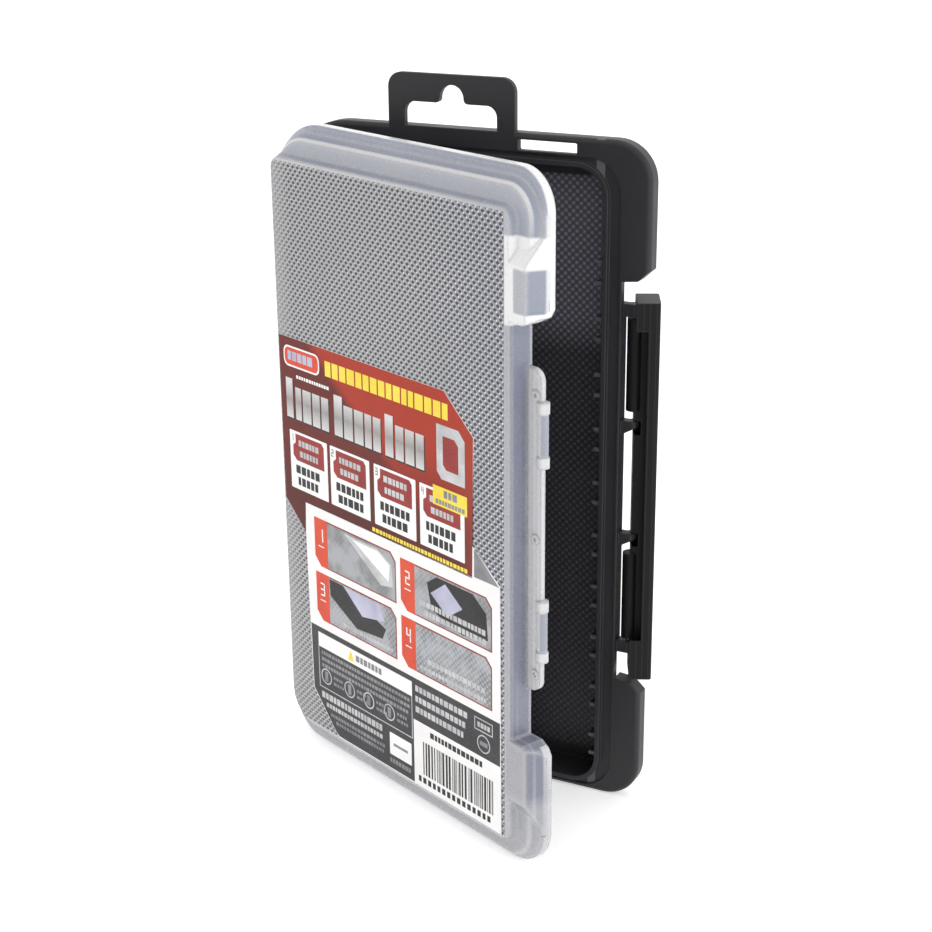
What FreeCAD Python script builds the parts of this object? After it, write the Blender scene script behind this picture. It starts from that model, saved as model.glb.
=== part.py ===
import FreeCAD, Part
import Sketcher
import math
import os
import re

# Slim hinged tackle case: tray base, clear lid, swinging side latch, lift-out divider plates.
# Every body is drawn in closed-case coordinates: X from the hinge side (0) to the latch side,
# Y = 0 on the seam (lid towards -Y, tray towards +Y), Z up from the standing edge. Body
# placements then move the case onto its origin and swing the lid and the latch open.

DIMENSIONS = {
    # overall case
    "case_width": 105.0,
    "case_height": 175.0,
    "corner_radius": 10.0,
    "hinge_corner_high": 20.0,
    "hinge_corner_low": 14.0,
    "tray_depth": 11.0,
    "lid_depth": 7.0,
    "wall": 1.2,
    "seam_gap": 0.1,
    # how far the moving parts stand open
    "lid_open_angle": 22.9,
    "latch_open_angle": 24.8,
    # origin of the finished part, measured in closed-case coordinates
    "origin_x": 52.5,
    "origin_y": 2.5,
    # tray flange
    "tray_right": 103.4,
    "skirt_depth": 4.2,
    "plate_depth": 1.8,
    "front_round": 1.2,
    "hinge_wall_x": 3.2,
    "latch_wall_x": 96.2,
    "latch_wall_depth": 3.6,
    "latch_cut_low": 34.6,
    "latch_cut_high": 140.8,
    # tray well
    "well_left": 8.0,
    "well_right": 91.2,
    "well_low": 3.3,
    "well_high": 168.0,
    "well_radius": 7.0,
    "ridge_width": 1.3,
    "ridge_rise": 0.7,
    "land_margin": 0.7,
    "land_depth": 0.6,
    "back_round": 1.5,
    # lanes, slots and divider plates
    "partition_width": 1.2,
    "partition_drop": 0.3,
    "rib_first": 13.65,
    "rib_pitch": 14.3,
    "rib_count": 10.0,
    "rib_gap": 4.3,
    "rib_width": 1.0,
    "rib_reach": 2.1,
    "rib_drop": 0.5,
    "plate_width": 1.2,
    "plate_drop": 0.9,
    "plate_end_width": 4.0,
    "plate_end_reach": 1.8,
    "plate_side_gap": 0.2,
    # hang tab and flange slots
    "tab_left": 32.4,
    "tab_right": 67.5,
    "tab_top": 188.0,
    "tab_leg": 4.6,
    "tab_depth": 1.5,
    "tab_radius": 3.6,
    "window_top": 181.0,
    "hook_x": 50.2,
    "hook_z": 182.2,
    "hook_radius": 3.3,
    "hook_mouth_round": 1.2,
    "window_round": 2.8,
    "slot_near": 18.3,
    "slot_far": 34.0,
    "slot_low": 170.9,
    "slot_high": 173.5,
    "slot_radius": 0.4,
    "tab_centre": 49.95,
    # hinge
    "hinge_x": 1.5,
    "knuckle_radius": 1.5,
    "knuckle_length": 9.6,
    "knuckle_pitch": 10.0,
    "hinge_low": 20.2,
    "hinge_high": 105.2,
    "hinge_pin_radius": 0.65,
    "hinge_pin_length": 49.0,
    "base_bore_radius": 0.67,
    "lid_bore_radius": 0.70,
    "knuckle_notch": 2.0,
    "knuckle_play": 0.3,
    # lid
    "lid_flange": 3.0,
    "lid_ledge": 5.0,
    "lid_step_left": 1.0,
    "lid_step_right": 103.6,
    "lid_step_low": 0.3,
    "lid_step_high": 172.7,
    "lid_step_radius": 9.4,
    "lid_step_hinge_high": 15.0,
    "lid_step_hinge_low": 12.0,
    "lid_step_draft": 45.0,
    "roof_left": 3.3,
    "roof_right": 98.0,
    "roof_low": 5.6,
    "roof_high": 166.95,
    "roof_radius": 4.2,
    "roof_hinge_low": 10.0,
    "roof_draft": 27.0,
    "lid_wall_x": 97.4,
    "lid_cut_low": 34.9,
    "lid_cut_high": 140.3,
    "boss_ridge_high": 154.0,
    "boss_foot_high": 160.0,
    "boss_ridge_low": 19.0,
    "boss_foot_low": 12.0,
    "boss_ridge_x": 102.6,
    "boss_shoulder": 1.5,
    # latch strip on the lid
    "strip_edge": 102.1,
    "strip_low": 47.8,
    "strip_high": 129.0,
    "strip_depth": 1.5,
    "strip_round": 3.0,
    "stud_x": 100.5,
    "stud_radius": 1.25,
    "stud_hole": 0.55,
    "stud_rise": 0.4,
    "barrel_x": 101.9,
    "barrel_y": 0.6,
    "barrel_radius": 1.25,
    "collar_radius": 1.5,
    "collar_length": 2.7,
    "barrel_length": 15.9,
    "barrel_low": 56.0,
    "barrel_spacing": 49.4,
    # latch
    "pivot_x": 99.0,
    "pivot_y": 2.6,
    "latch_left": 99.0,
    "latch_right": 104.8,
    "latch_front": 3.0,
    "latch_back": 7.1,
    "latch_low": 36.4,
    "latch_high": 136.6,
    "latch_cap": 1.2,
    "latch_shell": 1.1,
    "latch_lip": 0.6,
    "latch_lip_x": 101.9,
    "grip_front": 1.3,
    "latch_round": 0.8,
    "face_end_low": 47.3,
    "face_end_high": 129.5,
    "arm_radius": 2.0,
    "arm_low": 46.2,
    "arm_length": 23.6,
    "arm_spacing": 61.8,
    "arm_bore_radius": 0.65,
    "arm_bore_depth": 10.0,
    "arm_bore_run": 1.0,
    "core_left": 102.2,
    "core_right": 103.9,
    "core_length": 15.0,
    "core_pitch": 18.6,
    "core_depth": 4.2,
    # lugs on the tray that carry the latch
    "lug_low": 42.0,
    "lug_height": 3.2,
    "lug_pitch": 30.0,
    "lug_radius": 1.6,
    "lug_recess_radius": 2.2,
    "lug_play": 0.3,
    "lug_bore_radius": 0.62,
    "latch_pin_radius": 0.6,
    "latch_pin_length": 13.0,
    # sticker on the lid
    "label_depth": 0.12,
}

PLANE_NORMAL = {"XY_Plane": "+Z", "XZ_Plane": "-Y", "YZ_Plane": "+X"}

doc = FreeCAD.newDocument("tackle_case")
sheet = doc.addObject("Spreadsheet::Sheet", "dims")
parts = []


# ---------------------------------------------------------------- sheet and expressions

def fill_sheet():
    """Write every driving dimension into the sheet as a plain number with an alias."""
    for row, (alias, number) in enumerate(DIMENSIONS.items(), start=1):
        sheet.set("A%d" % row, alias)
        sheet.set("B%d" % row, repr(number))
        sheet.setAlias("B%d" % row, alias)
    doc.recompute()


def expression(text):
    """Turn 'case_width - wall' into an expression that reads the sheet."""
    return re.sub(r"[a-z_]+", lambda m: "dims." + m[0] if m[0] in DIMENSIONS else m[0], text)


def value(size):
    """Present value of a number or of an expression on the sheet."""
    if not isinstance(size, str):
        return float(size)
    result = sheet.evalExpression(expression(size))
    return float(getattr(result, "Value", result))


def bind(item, path, size):
    """Drive a property from the sheet, or set it when the size is a fixed number."""
    item.setExpression(path, expression(size if isinstance(size, str) else repr(size)))


# ---------------------------------------------------------------- sketches

def new_body(label, swing=None):
    """Body placed on the case origin; swing = (pivot x, pivot y, angle) about +Z."""
    body = doc.addObject("PartDesign::Body", label)
    body.Label = label
    if swing is None:
        bind(body, "Placement.Base.x", "-origin_x")
        bind(body, "Placement.Base.y", "-origin_y")
    else:
        pivot_x, pivot_y, angle = swing
        turn = "(%s) * 1 deg" % angle
        body.Placement.Rotation = FreeCAD.Rotation(FreeCAD.Vector(0, 0, 1), 1)
        bind(body, "Placement.Rotation.Angle", turn)
        bind(body, "Placement.Base.x", "%s - origin_x - (%s) * cos(%s) + (%s) * sin(%s)"
             % (pivot_x, pivot_x, turn, pivot_y, turn))
        bind(body, "Placement.Base.y", "%s - origin_y - (%s) * sin(%s) - (%s) * cos(%s)"
             % (pivot_y, pivot_x, turn, pivot_y, turn))
    parts.append(body)
    return body


def origin_feature(body, role):
    return [item for item in body.Origin.OriginFeatures if item.Role == role][0]


def new_sketch(body, name, plane, level):
    """Sketch parallel to an origin plane of the body, at a level along the world axis."""
    sketch = body.newObject("Sketcher::SketchObject", name)
    sketch.AttachmentSupport = [(origin_feature(body, plane), "")]
    sketch.MapMode = "FlatFace"
    level = level if isinstance(level, str) else repr(level)
    bind(sketch, "AttachmentOffset.Base.z", "-(%s)" % level if plane == "XZ_Plane" else level)
    return sketch


def pin_point(sketch, geometry, end, x, y):
    """Hold a sketch point at (x, y); either may be an expression."""
    for kind, axis, size in (("DistanceX", -2, x), ("DistanceY", -1, y)):
        if size is None:
            continue
        if not isinstance(size, str) and size == 0:
            sketch.addConstraint(Sketcher.Constraint("PointOnObject", geometry, end, axis))
            continue
        index = sketch.addConstraint(
            Sketcher.Constraint(kind, -1, 1, geometry, end, value(size)))
        if isinstance(size, str):
            sketch.setExpression("Constraints[%d]" % index, expression(size))


def add_polygon(sketch, points):
    """Closed polygon; every corner is held at its own coordinates."""
    corners = [FreeCAD.Vector(value(x), value(y), 0) for x, y in points]
    first = sketch.GeometryCount
    count = len(corners)
    for i, corner in enumerate(corners):
        sketch.addGeometry(Part.LineSegment(corner, corners[(i + 1) % count]))
    for i in range(count):
        sketch.addConstraint(
            Sketcher.Constraint("Coincident", first + i, 2, first + (i + 1) % count, 1))
    for i, (x, y) in enumerate(points):
        pin_point(sketch, first + i, 1, x, y)


def add_rectangle(sketch, left, right, low, high):
    add_polygon(sketch, [(left, low), (right, low), (right, high), (left, high)])


def add_rounded(sketch, left, right, low, high, radius, upper_left=None, lower_left=None):
    """Rectangle with tangent corner arcs; either left corner may have its own radius."""
    x0, x1, y0, y1 = (value(size) for size in (left, right, low, high))
    sizes = (radius, radius, upper_left or radius, lower_left or upper_left or radius)
    radii = [value(size) for size in sizes]
    r, q, p = radii[1:]
    first = sketch.GeometryCount
    sides = [((x0 + p, y0), (x1 - r, y0)), ((x1, y0 + r), (x1, y1 - r)),
             ((x1 - r, y1), (x0 + q, y1)), ((x0, y1 - q), (x0, y0 + p))]
    centres = [(x1 - r, y0 + r), (x1 - r, y1 - r), (x0 + q, y1 - q), (x0 + p, y0 + p)]
    normal = FreeCAD.Vector(0, 0, 1)
    for i in range(4):
        start, end = (FreeCAD.Vector(*point, 0) for point in sides[i])
        sketch.addGeometry(Part.LineSegment(start, end))
        circle = Part.Circle(FreeCAD.Vector(*centres[i], 0), normal, radii[i])
        angle = (i - 1) * math.pi / 2
        sketch.addGeometry(Part.ArcOfCircle(circle, angle, angle + math.pi / 2))
    for i in range(4):
        line, arc = first + 2 * i, first + 2 * i + 1
        following = first + (2 * i + 2) % 8
        sketch.addConstraint(Sketcher.Constraint("Tangent", line, 2, arc, 1))
        sketch.addConstraint(Sketcher.Constraint("Tangent", arc, 2, following, 1))
        sketch.addConstraint(Sketcher.Constraint("Vertical" if i % 2 else "Horizontal", line))
        index = sketch.addConstraint(Sketcher.Constraint("Radius", arc, radii[i]))
        if isinstance(sizes[i], str):
            sketch.setExpression("Constraints[%d]" % index, expression(sizes[i]))
    pin_point(sketch, first, 1, None, low)
    pin_point(sketch, first + 2, 1, right, None)
    pin_point(sketch, first + 4, 1, None, high)
    pin_point(sketch, first + 6, 1, left, None)


def add_circle(sketch, x, y, radius):
    centre = FreeCAD.Vector(value(x), value(y), 0)
    index = sketch.GeometryCount
    sketch.addGeometry(Part.Circle(centre, FreeCAD.Vector(0, 0, 1), value(radius)))
    pin_point(sketch, index, 3, x, y)
    row = sketch.addConstraint(Sketcher.Constraint("Radius", index, value(radius)))
    if isinstance(radius, str):
        sketch.setExpression("Constraints[%d]" % row, expression(radius))


# ---------------------------------------------------------------- features

def finish_feature(body, feature, check):
    """Recompute, confirm the feature worked and that it changed the volume as meant."""
    before = feature.BaseFeature.Shape.Volume if feature.BaseFeature else 0.0
    body.Tip = feature
    doc.recompute()
    change = feature.Shape.Volume - before
    if "Invalid" in feature.State or not check(change):
        raise RuntimeError("%s/%s changed the volume by %.3f" % (body.Label, feature.Name, change))
    return feature


def pad(body, name, sketch, length, toward, draft=None):
    """Add material from the sketch towards a signed world axis."""
    feature = body.newObject("PartDesign::Pad", name)
    feature.Profile = sketch
    bind(feature, "Length", length)
    feature.Reversed = toward != normal_of(sketch)
    if draft is not None:
        bind(feature, "TaperAngle", "-(%s)" % draft)
    sketch.Visibility = False
    return finish_feature(body, feature, lambda change: change > 0.01)


def cut(body, name, sketch, length, toward):
    """Remove material from the sketch towards a signed world axis."""
    feature = body.newObject("PartDesign::Pocket", name)
    feature.Profile = sketch
    bind(feature, "Length", length)
    feature.Reversed = toward == normal_of(sketch)
    sketch.Visibility = False
    return finish_feature(body, feature, lambda change: change < -0.01)


def normal_of(sketch):
    return PLANE_NORMAL[sketch.AttachmentSupport[0][0].Role]


def round_edges(body, name, base, radius, chosen):
    """Fillet the edges of a feature picked by a test on the edge."""
    names = ["Edge%d" % i for i, edge in enumerate(base.Shape.Edges, start=1) if chosen(edge)]
    feature = body.newObject("PartDesign::Fillet", name)
    feature.Base = (base, names)
    bind(feature, "Radius", radius)
    return finish_feature(body, feature, lambda change: bool(names) and abs(change) > 0.001)


def repeat_up(body, name, originals, count, spacing):
    """Linear pattern along Z with equal spacing."""
    feature = body.newObject("PartDesign::LinearPattern", name)
    feature.Originals = originals
    feature.Direction = (origin_feature(body, "Z_Axis"), [""])
    bind(feature, "Length", "(%s) * (%s - 1)" % (spacing, count))
    bind(feature, "Occurrences", count)
    return finish_feature(body, feature, lambda change: abs(change) > 0.01)


def edge_in_plane_y(level):
    return lambda edge: all(abs(v.Point.y - level) < 1e-4 for v in edge.Vertexes)


def edge_along(axis, *spots):
    """Test for straight edges parallel to an axis through one of the given (u, v) spots."""
    def chosen(edge):
        if len(edge.Vertexes) != 2:
            return False
        start, end = (vertex.Point for vertex in edge.Vertexes)
        others = [i for i in range(3) if i != axis]
        if any(abs(start[i] - end[i]) > 1e-4 for i in others):
            return False
        return any(all(abs(start[i] - spot) < 0.02 for i, spot in zip(others, pair))
                   for pair in spots)
    return chosen


# ---------------------------------------------------------------- tray

def lane_width():
    return "((well_right - well_left - 2 * partition_width) / 3)"


def lane_left(lane):
    """Left wall of lane 0, 1 or 2."""
    return "(well_left + %d * (%s + partition_width))" % (lane, lane_width())


def tray_flange(body):
    sketch = new_sketch(body, "flange_outline", "XZ_Plane", 0)
    add_rounded(sketch, 0, "tray_right", 0, "case_height", "corner_radius",
                "hinge_corner_high", "hinge_corner_low")
    block = pad(body, "flange_block", sketch, "skirt_depth", "+Y")
    block = round_edges(body, "flange_front_round", block, "front_round", edge_in_plane_y(0))

    sketch = new_sketch(body, "flange_back", "XZ_Plane", "skirt_depth")
    add_rounded(sketch, "hinge_wall_x + wall", "tray_right - wall", "wall", "case_height - wall",
                "corner_radius - wall", "hinge_corner_high - hinge_wall_x - wall",
                "hinge_corner_low")
    cut(body, "flange_hollow", sketch, "skirt_depth - plate_depth", "-Y")


def tray_well(body):
    sketch = new_sketch(body, "well_outline", "XZ_Plane", "-ridge_rise")
    add_rounded(sketch, "well_left - ridge_width", "well_right + ridge_width",
                "well_low - ridge_width", "well_high + ridge_width", "well_radius + ridge_width")
    block = pad(body, "well_block", sketch, "tray_depth + ridge_rise", "+Y")
    round_edges(body, "well_back_round", block, "back_round", edge_in_plane_y(value("tray_depth")))

    sketch = new_sketch(body, "hinge_side", "XZ_Plane", 0)
    add_rectangle(sketch, -1, "hinge_wall_x", -1, "case_height + 1")
    cut(body, "hinge_relief", sketch, "skirt_depth + 1", "+Y")

    sketch = new_sketch(body, "latch_side", "XZ_Plane", 0)
    add_polygon(sketch, [("latch_wall_x", "latch_cut_low"),
                         (100.4, "latch_cut_low - 0.5"), (106, "latch_cut_low - 5.669"),
                         (106, "latch_cut_high + 5.669"), (100.4, "latch_cut_high + 0.5"),
                         ("latch_wall_x", "latch_cut_high")])
    cut(body, "latch_relief", sketch, "skirt_depth + 1", "+Y")

    sketch = new_sketch(body, "latch_wall", "XZ_Plane", 0)
    add_rectangle(sketch, "latch_wall_x - wall", "latch_wall_x",
                  "lug_low", "lug_low + 3 * lug_pitch + lug_height")
    pad(body, "latch_skirt", sketch, "latch_wall_depth", "+Y")

    for name, level, way in (("upper", "latch_cut_high", 1), ("lower", "latch_cut_low", -1)):
        sketch = new_sketch(body, name + "_corner_end", "XZ_Plane", "front_round")
        run = [(0, 0), (4.2, 0.5), (6.8, 2.9), (6.8, 4.5), (3.8, 1.8), (0, 1.3)]
        add_polygon(sketch, [("latch_wall_x + %r" % x, "%s + %r" % (level, way * z))
                             for x, z in run])
        pad(body, name + "_corner_wall", sketch, "skirt_depth - front_round", "+Y")

    sketch = new_sketch(body, "well_inside", "XZ_Plane", "-ridge_rise - 0.5")
    add_rounded(sketch, "well_left", "well_right", "well_low", "well_high", "well_radius")
    cut(body, "well_hollow", sketch, "tray_depth - wall + ridge_rise + 0.5", "+Y")

    sketch = new_sketch(body, "land_ring", "XZ_Plane", 0)
    add_rounded(sketch, "hinge_wall_x + 1.6", "latch_wall_x - land_margin",
                "front_round + 0.1", "slot_low - 0.5", "well_radius + 1.6")
    add_rounded(sketch, "well_left - ridge_width", "well_right + ridge_width",
                "well_low - ridge_width", "well_high + ridge_width", "well_radius + ridge_width")
    cut(body, "sunken_land", sketch, "land_depth", "+Y")


def tray_lanes(body):
    """Two fixed partitions and the slot ribs down both sides of every lane."""
    sketch = new_sketch(body, "partition_lines", "XZ_Plane", "tray_depth - wall + 0.2")
    for lane in (1, 2):
        add_rectangle(sketch, lane_left(lane) + " - partition_width", lane_left(lane),
                      "well_low - 0.3", "well_high + 0.3")
    pad(body, "partitions", sketch, "tray_depth - wall + 0.2 - partition_drop", "-Y")

    sketch = new_sketch(body, "rib_pairs", "XZ_Plane", "tray_depth - wall + 0.2")
    for lane in (0, 1, 2):
        left = lane_left(lane)
        right = "(%s + %s)" % (left, lane_width())
        for x0, x1 in ((left + " - 0.2", left + " + rib_reach"),
                       (right + " - rib_reach", right + " + 0.2")):
            add_rectangle(sketch, x0, x1, "rib_first - rib_gap / 2 - rib_width",
                          "rib_first - rib_gap / 2")
            add_rectangle(sketch, x0, x1, "rib_first + rib_gap / 2",
                          "rib_first + rib_gap / 2 + rib_width")
    ribs = pad(body, "first_ribs", sketch, "tray_depth - wall + 0.2 - rib_drop", "-Y")
    repeat_up(body, "slot_ribs", [ribs], "rib_count", "rib_pitch")


def tray_hang_tab(body):
    sketch = new_sketch(body, "tab_outline", "XZ_Plane", 0)
    add_rounded(sketch, "tab_left", "tab_right", "case_height - 3.5", "tab_top", "tab_radius")
    pad(body, "hang_tab", sketch, "tab_depth", "+Y")

    sketch = new_sketch(body, "tab_opening", "XZ_Plane", 0)
    add_rectangle(sketch, "tab_left + tab_leg", "tab_right - tab_leg - 0.3",
                  "case_height", "window_top")
    window = cut(body, "tab_window", sketch, "tab_depth", "+Y")
    corners = [(value("tab_left + tab_leg"), value("window_top")),
               (value("tab_right - tab_leg - 0.3"), value("window_top"))]
    round_edges(body, "window_corners", window, "window_round", edge_along(1, *corners))

    sketch = new_sketch(body, "hook_circle", "XZ_Plane", 0)
    add_circle(sketch, "hook_x", "hook_z", "hook_radius")
    hook = cut(body, "hook_notch", sketch, "tab_depth", "+Y")
    half = math.sqrt(value("hook_radius") ** 2 - (value("hook_z") - value("window_top")) ** 2)
    mouth = [(value("hook_x") + side * half, value("window_top")) for side in (-1, 1)]
    round_edges(body, "hook_mouth", hook, "hook_mouth_round", edge_along(1, *mouth))

    sketch = new_sketch(body, "flange_slot", "XZ_Plane", 0)
    add_rounded(sketch, "tab_centre + slot_near", "tab_centre + slot_far",
                "slot_low", "slot_high", "slot_radius")
    cut(body, "strap_slot", sketch, "plate_depth", "+Y")


def tray_latch_lugs(body):
    """Four lugs on the latch wall; the outer two are bored for the latch pins."""
    sketch = new_sketch(body, "lug_eye", "XY_Plane", "lug_low")
    add_circle(sketch, "pivot_x", "pivot_y", "lug_radius")
    eye = pad(body, "lug_round", sketch, "lug_height", "+Z")
    sketch = new_sketch(body, "lug_web", "XY_Plane", "lug_low")
    add_rectangle(sketch, "latch_wall_x - 0.6", "pivot_x",
                  "pivot_y - lug_radius", "latch_wall_depth")
    web = pad(body, "lug_arm", sketch, "lug_height", "+Z")
    repeat_up(body, "lugs", [eye, web], "4", "lug_pitch")

    for name, level in (("second", "lug_low + lug_pitch"), ("third", "lug_low + 2 * lug_pitch")):
        sketch = new_sketch(body, name + "_lug_slope", "XZ_Plane", 0)
        add_polygon(sketch, [(97.2, level), (101.2, level), (101.2, level + " + 2.3")])
        cut(body, name + "_lug_underside", sketch, "skirt_depth + 1", "+Y")

    for name, level in (("lower", "lug_low"), ("upper", "lug_low + 3 * lug_pitch")):
        sketch = new_sketch(body, name + "_lug_hole", "XY_Plane", level)
        add_circle(sketch, "pivot_x", "pivot_y", "lug_bore_radius")
        cut(body, name + "_lug_bore", sketch, "lug_height", "+Z")


def knuckles(body, group, level, bore, side):
    """Three tray knuckles or two lid knuckles of one hinge, with their pin bore.

    side is +1 for the tray (webs behind the seam) and -1 for the lid.
    """
    first = level if side > 0 else "%s + knuckle_pitch" % level
    count = 3 if side > 0 else 2
    sketch = new_sketch(body, group + "_knuckle", "XY_Plane", first)
    add_circle(sketch, "hinge_x", 0, "knuckle_radius")
    features = [pad(body, group + "_barrel", sketch, "knuckle_length", "+Z")]
    if side > 0:
        sketch = new_sketch(body, group + "_web", "XY_Plane", first)
        add_rectangle(sketch, "hinge_x", "hinge_wall_x + 0.6", 0.1, "knuckle_radius - 0.1")
        features.append(pad(body, group + "_web_block", sketch, "knuckle_length", "+Z"))
    repeat_up(body, group + "_knuckles", features, str(count), "2 * knuckle_pitch")
    sketch = new_sketch(body, group + "_bore_circle", "XY_Plane", "%s - 1" % level)
    add_circle(sketch, "hinge_x", 0, bore)
    cut(body, group + "_bore", sketch, "5 * knuckle_pitch + 2", "+Z")


def build_tray():
    body = new_body("base_tray")
    tray_flange(body)
    tray_well(body)
    tray_lanes(body)
    tray_hang_tab(body)
    tray_latch_lugs(body)
    knuckles(body, "lower", "hinge_low", "base_bore_radius", 1)
    knuckles(body, "upper", "hinge_high", "base_bore_radius", 1)


# ---------------------------------------------------------------- lid

def lid_shell(body):
    """Flange, drafted step and drafted roof, then the hollow behind each level."""
    sketch = new_sketch(body, "flange_outline", "XZ_Plane", "-seam_gap")
    add_rounded(sketch, 0, "case_width", 0, "case_height", "corner_radius",
                "hinge_corner_high", "hinge_corner_low")
    block = pad(body, "flange_block", sketch, "lid_flange - seam_gap", "-Y")
    round_edges(body, "flange_round", block, "front_round - 0.4",
                edge_in_plane_y(-value("lid_flange")))

    sketch = new_sketch(body, "step_outline", "XZ_Plane", "-lid_flange")
    add_rounded(sketch, "lid_step_left", "lid_step_right", "lid_step_low", "lid_step_high",
                "lid_step_radius", "lid_step_hinge_high", "lid_step_hinge_low")
    pad(body, "step_block", sketch, "lid_ledge - lid_flange", "-Y", "lid_step_draft")

    sketch = new_sketch(body, "roof_outline", "XZ_Plane", "-lid_flange")
    add_rounded(sketch, "roof_left - 1", "roof_right + 1", "roof_low - 1", "roof_high + 1",
                "roof_radius + 1", None, "roof_hinge_low + 1")
    pad(body, "roof_block", sketch, "lid_depth - lid_flange", "-Y", "roof_draft")


def lid_corner_bosses(body):
    """Boxes beside the latch, flush with the roof, with sloping sides and outer ends."""
    for name, near, ridge, foot in (
            ("upper", "lid_cut_high", "boss_ridge_high", "boss_foot_high"),
            ("lower", "lid_cut_low", "boss_ridge_low", "boss_foot_low")):
        sketch = new_sketch(body, name + "_boss_side", "YZ_Plane", "roof_right - 3")
        add_polygon(sketch, [("-seam_gap - 1", near), ("-lid_depth", near), ("-lid_depth", ridge),
                             ("-lid_flange", foot), ("-seam_gap - 1", foot)])
        pad(body, name + "_boss", sketch, "case_width - roof_right + 3", "+X")
        sketch = new_sketch(body, name + "_boss_slope", "XY_Plane", "%s - 25" % near)
        add_polygon(sketch, [("boss_ridge_x", "-lid_depth"), ("case_width", "-boss_shoulder"),
                             ("case_width + 1", "-boss_shoulder"),
                             ("case_width + 1", "-lid_depth - 1"),
                             ("boss_ridge_x", "-lid_depth - 1")])
        cut(body, name + "_boss_flank", sketch, "50", "+Z")


def lid_hollow(body):
    levels = (
        ("flange", 1.8, "hinge_wall_x + wall", "case_width - wall", "wall",
         "case_height - wall", "corner_radius - wall",
         "hinge_corner_high - hinge_wall_x - wall", "hinge_corner_low - 4"),
        ("step", 3.8, "hinge_wall_x + wall", "lid_step_right - 3", "lid_step_low + 3",
         "lid_step_high - 3.1", "lid_step_radius - 2",
         "lid_step_hinge_high - 1", "lid_step_hinge_low - 1"),
        ("roof", 5.8, "roof_left + 1.9", "roof_right - 2.2", "roof_low + 2.3",
         "roof_high - 2.15", "roof_radius - 1.5", "roof_radius - 1.5", "roof_hinge_low - 1.5"),
    )
    for name, depth, left, right, low, high, *radii in levels:
        sketch = new_sketch(body, name + "_inside", "XZ_Plane", "-seam_gap + 0.5")
        add_rounded(sketch, left, right, low, high, *radii)
        cut(body, name + "_hollow", sketch, "%r - seam_gap + 0.5" % depth, "-Y")

    for name, near, far in (("upper", "lid_cut_high + wall", "boss_ridge_high - 0.6"),
                            ("lower", "boss_ridge_low + 0.6", "lid_cut_low - wall")):
        sketch = new_sketch(body, name + "_boss_inside", "XZ_Plane", "-seam_gap")
        add_rectangle(sketch, "lid_wall_x - 2", "boss_ridge_x - 1.4", near, far)
        cut(body, name + "_boss_hollow", sketch, "lid_depth - wall - seam_gap", "-Y")


def lid_latch_side(body):
    """Cut the flange away for the latch and close the lid behind it with thin walls."""
    sketch = new_sketch(body, "latch_side", "XZ_Plane", 0.5)
    add_polygon(sketch, [("lid_wall_x", "lid_cut_low"), (101.6, "lid_cut_low"),
                         (103.9, "lid_cut_low - 1.4"), (106, "lid_cut_low - 5"),
                         (106, "lid_cut_high + 5"), (103.9, "lid_cut_high + 1.4"),
                         (101.6, "lid_cut_high"), ("lid_wall_x", "lid_cut_high")])
    cut(body, "latch_relief", sketch, "lid_depth + 1", "-Y")

    sketch = new_sketch(body, "latch_wall", "XZ_Plane", "-seam_gap")
    add_rectangle(sketch, "lid_wall_x - wall", "lid_wall_x",
                  "lid_cut_low - wall", "lid_cut_high + wall")
    pad(body, "latch_side_wall", sketch, "lid_depth - wall", "-Y")

    for name, level in (("upper", "lid_cut_high"), ("lower", "lid_cut_low - wall")):
        sketch = new_sketch(body, name + "_end_profile", "XY_Plane", level)
        add_polygon(sketch, [("lid_wall_x - wall", "-seam_gap"), (101.6, "-seam_gap"),
                             (101.6, "-lid_depth + 0.6"), ("lid_wall_x - wall", "-lid_depth + 0.6")])
        pad(body, name + "_end_wall", sketch, "wall", "+Z")
        way = 1 if name == "upper" else -1
        edge = "lid_cut_high" if name == "upper" else "lid_cut_low"
        sketch = new_sketch(body, name + "_bevel", "XZ_Plane", "-seam_gap")
        run = [(100.9, 0.0), (101.6, 0.0), (103.9, 1.4), (105.0, 3.286), (105.0, 5.4),
               (103.2, 2.5), (100.9, 1.2)]
        add_polygon(sketch, [(x, "%s + %r" % (edge, way * z)) for x, z in run])
        pad(body, name + "_bevel_wall", sketch, "boss_shoulder - seam_gap + 0.3", "-Y")


def lid_latch_strip(body):
    """Strip with ring studs and two hook barrels that the latch lip closes over."""
    sketch = new_sketch(body, "strip_outline", "XZ_Plane", "-seam_gap")
    add_rectangle(sketch, "lid_wall_x - 0.5", "strip_edge", "strip_low", "strip_high")
    strip = pad(body, "strip", sketch, "strip_depth - seam_gap", "-Y")
    ends = [(value("strip_edge"), value("strip_low")), (value("strip_edge"), value("strip_high"))]
    round_edges(body, "strip_ends", strip, "strip_round", edge_along(1, *ends))

    sketch = new_sketch(body, "stud_rings", "XZ_Plane", "-strip_depth + 0.05")
    for level in (52.4, 87.4, 122.8):
        add_circle(sketch, "stud_x", level, "stud_radius")
        add_circle(sketch, "stud_x", level, "stud_hole")
    pad(body, "studs", sketch, "stud_rise + 0.05", "-Y")

    features = []
    for name, level, length, radius in (
            ("core", "barrel_low", "barrel_length", "barrel_radius"),
            ("lower_collar", "barrel_low", "collar_length", "collar_radius"),
            ("upper_collar", "barrel_low + barrel_length - collar_length", "collar_length",
             "collar_radius")):
        sketch = new_sketch(body, name + "_circle", "XY_Plane", level)
        add_circle(sketch, "barrel_x", "-barrel_y", radius)
        features.append(pad(body, "barrel_" + name, sketch, length, "+Z"))
    repeat_up(body, "hook_barrels", features, "2", "barrel_spacing")


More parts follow.
